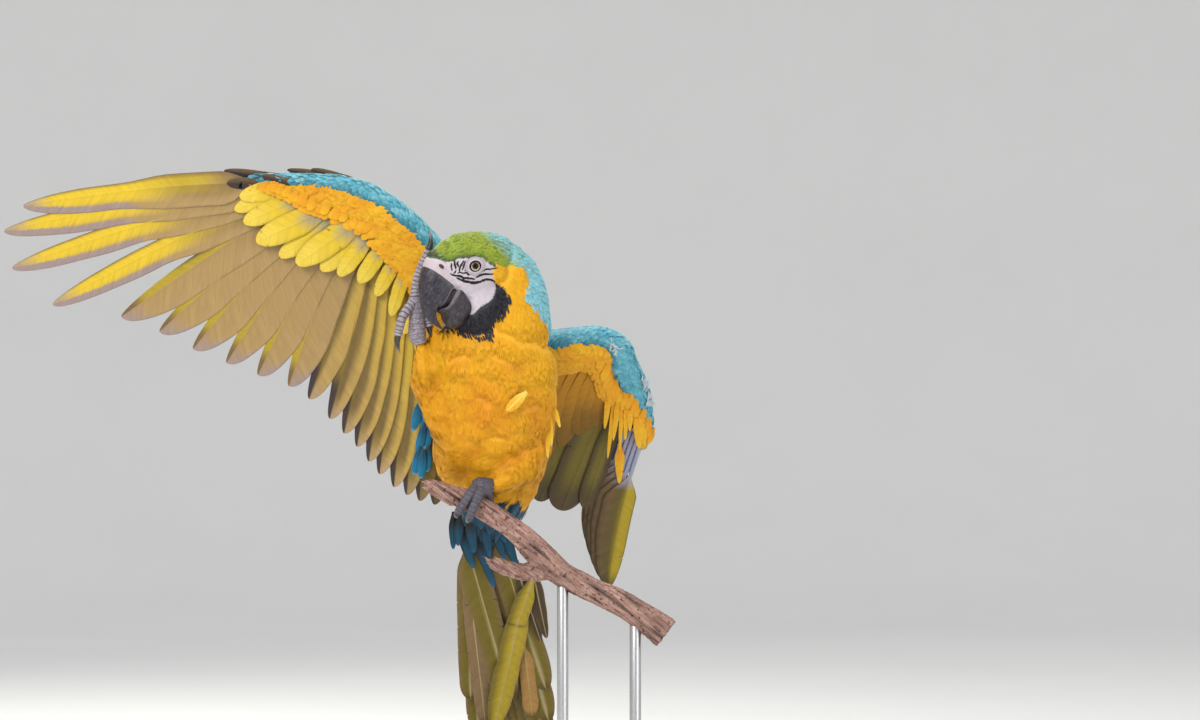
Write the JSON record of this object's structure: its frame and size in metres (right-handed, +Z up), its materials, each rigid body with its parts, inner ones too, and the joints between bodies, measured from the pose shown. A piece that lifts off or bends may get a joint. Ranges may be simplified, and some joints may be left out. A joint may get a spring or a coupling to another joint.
{
  "type": "blue-and-yellow macaw model",
  "caption": "Life-size still model of a large parrot with one wing spread, one half open and a foot raised to its bill, on a cut branch held by a display stand.",
  "frame": {"origin": "middle of the underside of the stand's base", "axes": "+Z up, the bird's breast faces -Y, its right wing is stretched towards -X, and its tail hangs down and back towards +Y"},
  "size_m": [0.7172, 0.4232, 0.809],
  "materials": {
    "plumage_yellow": "soft feathers",
    "plumage_blue": "soft feathers",
    "plumage_green": "soft feathers and bare skin",
    "bill": "black horn, worn",
    "foot": "granular scales",
    "eye": "wet gloss",
    "branch": "weathered bark",
    "stand_wood": "dark satin",
    "stand_metal": "brushed"
  },
  "bodies": {
    "root": {"torso": "plumage_yellow", "neck": "plumage_yellow", "head": "plumage_green", "eye_left": "eye", "eye_right": "eye", "bill_upper": "bill", "bill_lower": "bill", "wing_right": "plumage_blue", "wing_left": "plumage_blue", "tail": "plumage_blue", "thigh_right": "plumage_yellow", "thigh_left": "plumage_yellow", "foot_left": "foot", "foot_right": "foot", "claw_left_1": "bill", "claw_left_2": "bill", "claw_left_3": "bill", "claw_left_4": "bill", "claw_right_1": "bill", "claw_right_2": "bill", "claw_right_3": "bill", "claw_right_4": "bill", "perch": "branch", "stand_base": "stand_wood", "stand_rod_1": "stand_metal", "stand_rod_2": "stand_metal"}
  },
  "joints": []
}
